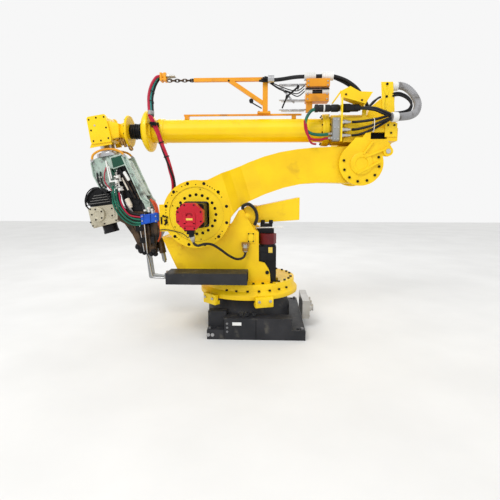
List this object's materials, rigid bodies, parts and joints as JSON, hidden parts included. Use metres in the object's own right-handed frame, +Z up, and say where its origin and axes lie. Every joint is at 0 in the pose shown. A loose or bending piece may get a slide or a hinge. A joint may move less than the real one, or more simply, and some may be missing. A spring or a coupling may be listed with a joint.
{
  "type": "industrial robot arm",
  "caption": "Floor-standing six-axis arm, parked folded, with a long slim forearm, overhead hose boom, dress-pack hoses and a servo spot-weld gun hanging from the wrist.",
  "frame": {"origin": "on the first axis (vertical turning axis), at the base's bottom face", "axes": "+X forward over the parked forearm, +Y to the arm's left, the side with the shoulder motor, +Z up"},
  "size_m": [2.208, 0.933, 1.6863],
  "materials": {
    "base_paint": "satin",
    "connector_metal": "satin",
    "steel": "satin",
    "reducer_metal": "rough",
    "yellow_paint": "satin",
    "motor_black": "satin",
    "motor_red": "satin",
    "dark_bolts": "satin",
    "cable_black": "matte",
    "conduit_grey": "matte",
    "orange_paint": "satin",
    "white_nylon": "satin",
    "hose_red": "matte",
    "hose_green": "matte",
    "grey_metal": "satin",
    "gun_paint": "satin",
    "gearbox_metal": "satin",
    "bronze_metal": "satin",
    "blue_paint": "satin",
    "copper": "satin"
  },
  "bodies": {
    "base": {"base_casting": "base_paint", "base_connector_panel": "connector_metal", "base_bolts": "steel", "j1_reducer": "reducer_metal"},
    "turret": {"turret_casting": "yellow_paint", "ring_bolts": "steel", "j1_stoppers": "yellow_paint", "j1_motor": "motor_black", "j1_motor_cap": "motor_red", "fork_pockets": "base_paint", "gland_plate": "yellow_paint", "cable_gland": "connector_metal", "rear_beam": "yellow_paint", "turret_conduit": "cable_black", "j1_bearing": "steel", "j2_reducer": "reducer_metal"},
    "lower_arm": {"lower_arm": "yellow_paint", "hub_plate": "yellow_paint", "hub_bolts": "dark_bolts", "j2_motor": "motor_black", "j2_motor_cap": "motor_red", "j2_connector": "connector_metal", "j2_cable": "cable_black", "j2_bearing": "steel"},
    "elbow_carrier": {"j3_reducer": "reducer_metal"},
    "forearm": {"elbow_housing": "yellow_paint", "j3_motor": "motor_black", "wrist_motors": "motor_black", "rear_brackets": "yellow_paint", "hose_manifold": "grey_metal", "rear_conduit": "conduit_grey", "manifold_hoses": "cable_black", "forearm_tube": "yellow_paint", "boom_frame": "orange_paint", "hose_carriers": "orange_paint", "carrier_clamps": "white_nylon", "top_hose": "cable_black", "spring_rods": "steel", "boom_clamp": "orange_paint", "boom_hoses": "hose_red", "hose_ring": "yellow_paint", "drive_shafts": "steel", "dress_hose_upper": "hose_red"},
    "wrist_roll": {"wrist_neck": "yellow_paint", "wrist_coupling": "motor_black", "dress_hose_middle": "hose_red"},
    "wrist_bend": {"wrist_box": "yellow_paint", "wrist_cover": "yellow_paint"},
    "tool": {"tool_flange": "steel", "gun_frame": "gun_paint", "gun_guard": "orange_paint", "gun_transformer": "motor_black", "gun_motor": "motor_black", "gun_gearbox": "gearbox_metal", "gun_body": "bronze_metal", "electrode_arm": "steel", "gun_hoses": "hose_green", "hose_clamp": "blue_paint", "dress_hose_lower": "hose_red"},
    "electrode": {"moving_electrode": "copper"}
  },
  "joints": [
    {"name": "j1_turn", "type": "hinge", "parent": "base", "child": "turret", "pos_m": [0, 0, 0], "axis": [0, 0, 1], "range_deg": [-180, 180]},
    {"name": "j2_swing", "type": "hinge", "parent": "turret", "child": "lower_arm", "pos_m": [0.312, 0, 0.77], "axis": [0, 1, 0], "range_deg": [0, 136], "deforming": ["j2_cable"]},
    {"name": "j3_level", "type": "hinge", "parent": "lower_arm", "child": "elbow_carrier", "pos_m": [-0.71603, 0, 1.0843], "axis": [0, 1, 0], "range_deg": [-136, 0]},
    {"name": "j3_lift", "type": "hinge", "parent": "elbow_carrier", "child": "forearm", "pos_m": [-0.71603, 0, 1.0843], "axis": [0, 1, 0], "range_deg": [-110, 0]},
    {"name": "j4_roll", "type": "hinge", "parent": "forearm", "child": "wrist_roll", "pos_m": [0.97897, 0, 1.3093], "axis": [1, 0, 0], "range_deg": [-180, 180], "deforming": ["dress_hose_upper"]},
    {"name": "j5_bend", "type": "hinge", "parent": "wrist_roll", "child": "wrist_bend", "pos_m": [0.97897, 0, 1.3093], "axis": [0, -1, 0], "range_deg": [-2, 190], "deforming": ["dress_hose_middle"]},
    {"name": "j6_turn", "type": "hinge", "parent": "wrist_bend", "child": "tool", "pos_m": [0.97897, 0, 1.3093], "axis": [-0.1736, 0, -0.9848], "range_deg": [-180, 180], "deforming": ["dress_hose_lower"]},
    {"name": "electrode_stroke", "type": "slide", "parent": "tool", "child": "electrode", "axis": [-0.1908, 0, -0.9816], "range_m": [-0.04, 0.058]}
  ],
  "couplings": [
    {"joint": "j3_level", "follows": "j2_swing", "ratio": -1}
  ]
}
